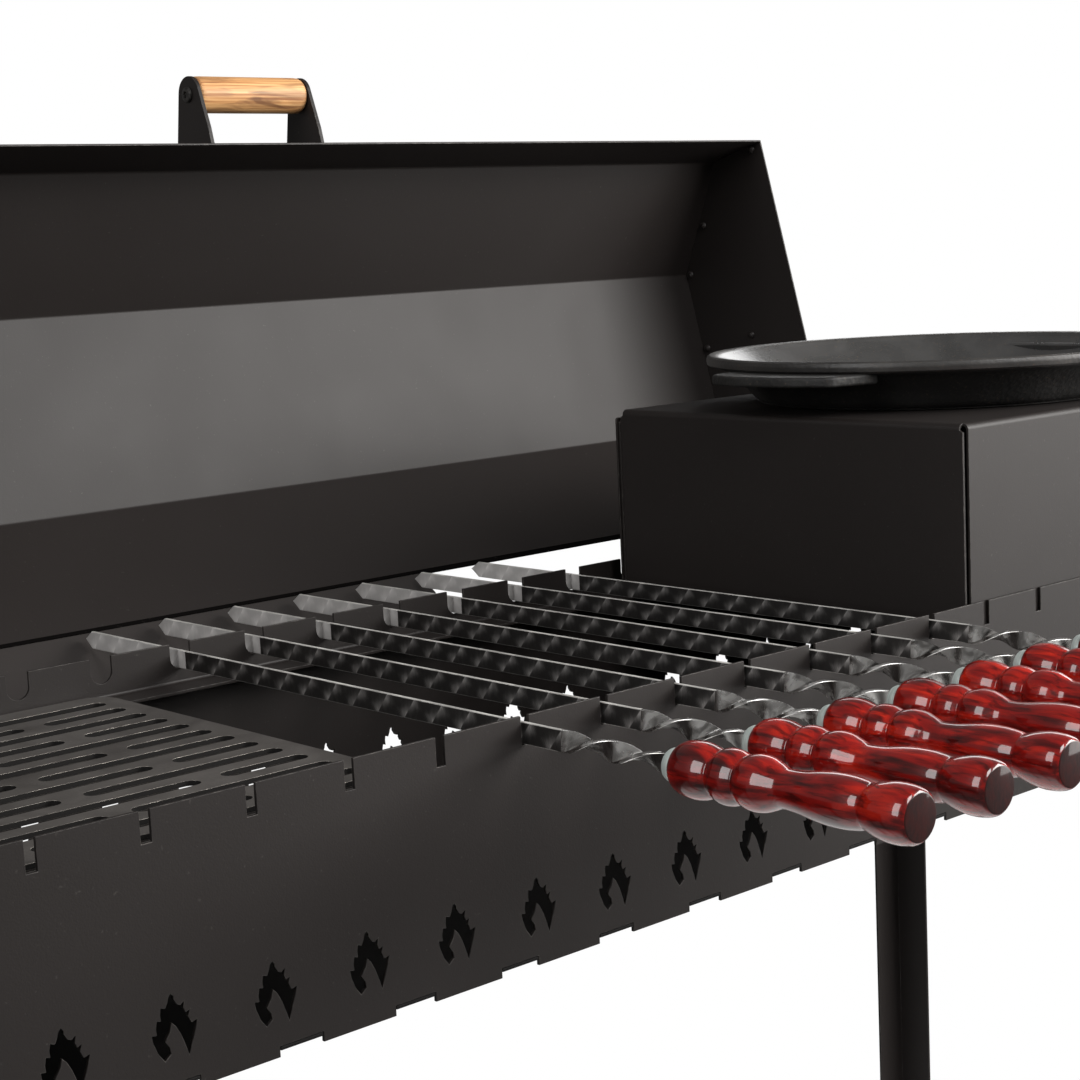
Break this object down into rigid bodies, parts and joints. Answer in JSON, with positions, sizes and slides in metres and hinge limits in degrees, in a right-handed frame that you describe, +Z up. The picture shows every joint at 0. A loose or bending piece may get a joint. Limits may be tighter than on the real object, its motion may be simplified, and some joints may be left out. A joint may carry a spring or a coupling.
{
  "type": "skewer charcoal grill",
  "caption": "Long open sheet-steel charcoal grill on angle legs, with a hinged faceted lid, lift-out grate, drop-in stove box with a pan, and wooden-handled skewers.",
  "frame": {"origin": "on the ground, under the middle of the whole object's box at rest, with the lid open", "axes": "+X along the firebox to the cook's right, +Y away from the cook towards the lid, +Z up"},
  "size_m": [1.1292, 0.859, 1.2292],
  "materials": {
    "coated_steel": "matte graphite-brown heat-resistant coating",
    "grate_steel": "satin black heat-resistant coating",
    "cast_iron": "seasoned, slightly rough",
    "skewer_steel": "engine-turned with alternating diagonal patches",
    "ferrule_metal": "plain turned",
    "handle_wood": "glossy red lacquer over turned wood",
    "grip_wood": "singed pine",
    "dark_fastener": "blackened steel",
    "foot_plastic": "matte"
  },
  "bodies": {
    "stand": {"front_wall": "coated_steel", "rear_wall": "coated_steel", "left_end_wall": "coated_steel", "right_end_wall": "coated_steel", "floor_plate": "coated_steel", "front_ledge": "coated_steel", "rear_skewer_rest": "coated_steel", "rear_guard": "coated_steel", "hinge_spacer_left": "coated_steel", "hinge_spacer_right": "coated_steel", "hinge_bracket_left": "coated_steel", "hinge_bracket_right": "coated_steel", "leg_front_left": "coated_steel", "leg_front_right": "coated_steel", "leg_rear_left": "coated_steel", "leg_rear_right": "coated_steel", "bracket_rivet_left_1": "dark_fastener", "bracket_rivet_left_2": "dark_fastener", "bracket_rivet_right_1": "dark_fastener", "bracket_rivet_right_2": "dark_fastener", "foot_front_left": "foot_plastic", "foot_front_right": "foot_plastic", "foot_rear_left": "foot_plastic", "foot_rear_right": "foot_plastic", "pivot_bolt_left": "dark_fastener", "pivot_bolt_right": "dark_fastener"},
    "lid": {"lid_shell": "coated_steel", "lid_end_left": "coated_steel", "lid_end_right": "coated_steel", "handle_bracket_left": "coated_steel", "handle_bracket_right": "coated_steel", "grip_bolt_left": "dark_fastener", "grip_bolt_right": "dark_fastener", "handle_grip": "grip_wood"},
    "grate": {"grate": "grate_steel"},
    "stove": {"stove_shell": "coated_steel"},
    "pan": {"pan": "cast_iron"},
    "skewer_1": {"skewer_1_blade": "skewer_steel", "skewer_1_ferrule": "ferrule_metal", "skewer_1_handle": "handle_wood"},
    "skewer_2": {"skewer_2_blade": "skewer_steel", "skewer_2_ferrule": "ferrule_metal", "skewer_2_handle": "handle_wood"},
    "skewer_3": {"skewer_3_blade": "skewer_steel", "skewer_3_ferrule": "ferrule_metal", "skewer_3_handle": "handle_wood"},
    "skewer_4": {"skewer_4_blade": "skewer_steel", "skewer_4_ferrule": "ferrule_metal", "skewer_4_handle": "handle_wood"},
    "skewer_5": {"skewer_5_blade": "skewer_steel", "skewer_5_ferrule": "ferrule_metal", "skewer_5_handle": "handle_wood"},
    "skewer_6": {"skewer_6_blade": "skewer_steel", "skewer_6_ferrule": "ferrule_metal", "skewer_6_handle": "handle_wood"},
    "skewer_7": {"skewer_7_blade": "skewer_steel", "skewer_7_ferrule": "ferrule_metal", "skewer_7_handle": "handle_wood"}
  },
  "joints": [
    {"name": "lid_hinge", "type": "hinge", "parent": "stand", "child": "lid", "pos_m": [0, 0.20526, 0.825], "axis": [-1, 0, 0], "range_deg": [-62, 0]},
    {"name": "grate_lift", "type": "slide", "parent": "stand", "child": "grate", "axis": [0, 0, 1], "range_m": [0, 0.1]},
    {"name": "stove_lift", "type": "slide", "parent": "stand", "child": "stove", "axis": [0, 0, 1], "range_m": [0, 0.1]},
    {"name": "pan_lift", "type": "slide", "parent": "stove", "child": "pan", "axis": [0, 0, 1], "range_m": [0, 0.1]},
    {"name": "skewer_1_lift", "type": "slide", "parent": "stand", "child": "skewer_1", "axis": [0, 0, 1], "range_m": [0, 0.06]},
    {"name": "skewer_2_lift", "type": "slide", "parent": "stand", "child": "skewer_2", "axis": [0, 0, 1], "range_m": [0, 0.06]},
    {"name": "skewer_3_lift", "type": "slide", "parent": "stand", "child": "skewer_3", "axis": [0, 0, 1], "range_m": [0, 0.06]},
    {"name": "skewer_4_lift", "type": "slide", "parent": "stand", "child": "skewer_4", "axis": [0, 0, 1], "range_m": [0, 0.06]},
    {"name": "skewer_5_lift", "type": "slide", "parent": "stand", "child": "skewer_5", "axis": [0, 0, 1], "range_m": [0, 0.06]},
    {"name": "skewer_6_lift", "type": "slide", "parent": "stand", "child": "skewer_6", "axis": [0, 0, 1], "range_m": [0, 0.06]},
    {"name": "skewer_7_lift", "type": "slide", "parent": "stand", "child": "skewer_7", "axis": [0, 0, 1], "range_m": [0, 0.06]}
  ]
}
